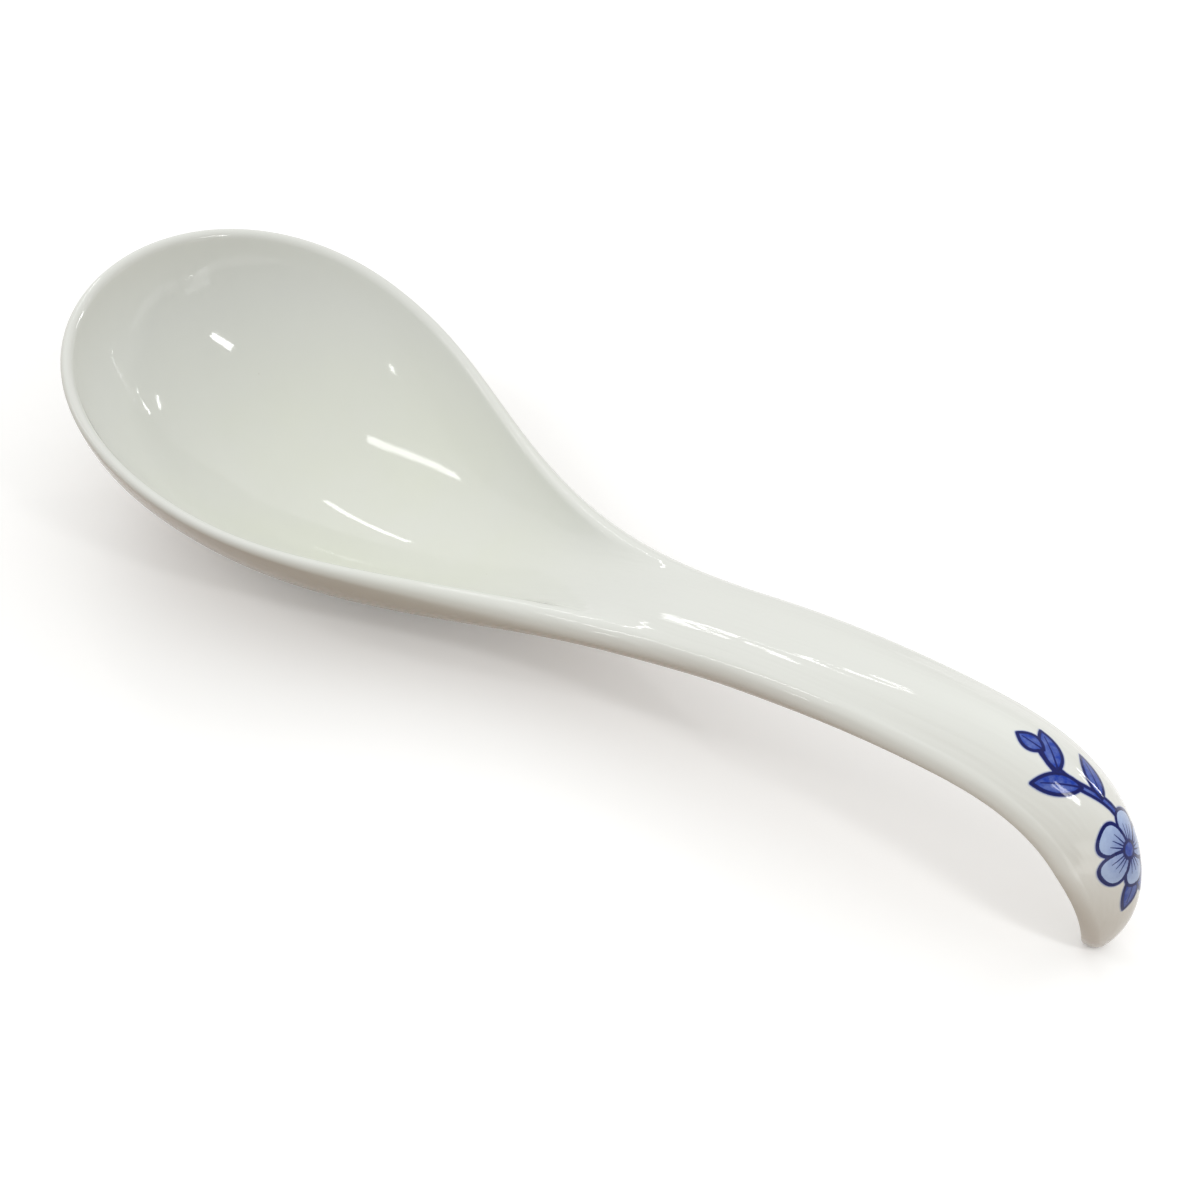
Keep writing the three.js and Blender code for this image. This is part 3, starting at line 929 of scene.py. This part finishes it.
def add_tube(number, start, end, height, width, brightness):
    """A long lamp overhead that shines straight down."""
    a, b = Vector((*start, height)), Vector((*end, height))
    turn = (0, 0, math.atan2(b.y - a.y, b.x - a.x))
    add_lamp(f"tube_{number}", (a + b) / 2, turn, (b - a).length, width, brightness)


def add_card():
    """The pale card, turned to the hooked end."""
    way = Vector(CARD_FACES) - Vector(CARD_PLACE)
    turn = way.to_track_quat("-Z", "Y").to_euler()
    add_lamp("card", CARD_PLACE, turn, CARD_LENGTH, CARD_WIDTH, CARD_LIGHT)


# Camera: turn, height and roll of its view, its distance, the point that it looks past, and its lens
CAMERA_AZIMUTH = 35.858
CAMERA_ELEVATION = 46.380
CAMERA_ROLL = 0.291
CAMERA_DISTANCE = 0.468365
CAMERA_MIDDLE = Vector((0.046, 0, 0.018))
CAMERA_ASIDE = (-0.010101, 0.004767)
CAMERA_LENS = 78.0
CAMERA_SENSOR = 36.0


def add_camera():
    """The view of the spoon from above, on the near side of its handle."""
    az, el, roll = (math.radians(a) for a in (CAMERA_AZIMUTH, CAMERA_ELEVATION, CAMERA_ROLL))
    back = Vector((math.sin(az) * math.cos(el), -math.cos(az) * math.cos(el), math.sin(el)))
    level = Vector((math.cos(az), math.sin(az), 0))
    upright = back.cross(level)
    right = level * math.cos(roll) + upright * math.sin(roll)
    up = upright * math.cos(roll) - level * math.sin(roll)
    data = bpy.data.cameras.new("camera")
    data.lens = CAMERA_LENS
    data.sensor_width = CAMERA_SENSOR
    camera = bpy.data.objects.new("camera", data)
    spot = CAMERA_MIDDLE + back * CAMERA_DISTANCE - right * CAMERA_ASIDE[0] - up * CAMERA_ASIDE[1]
    turn = Matrix((right, up, back)).transposed().to_4x4()
    camera.matrix_world = Matrix.Translation(spot) @ turn
    bpy.context.scene.collection.objects.link(camera)
    bpy.context.scene.camera = camera


half_rows = surface_rows()
pose = rest_pose(half_rows)
glazed = glazed_surface(turned(half_rows, pose[0]) + pose[1])
add_piece("clay_body", clay_body(glazed), clay_material(), "porcelain_body")
add_piece("glaze_skin", glaze_coat(glazed), glaze_material(), "glaze_coat")
add_sprig(glazed, pose)
glazed.free()

add_floor()
add_world()
for number, tube in enumerate(TUBES):
    add_tube(number, *tube)
add_card()
add_camera()
bpy.context.scene.view_settings.view_transform = "Standard"
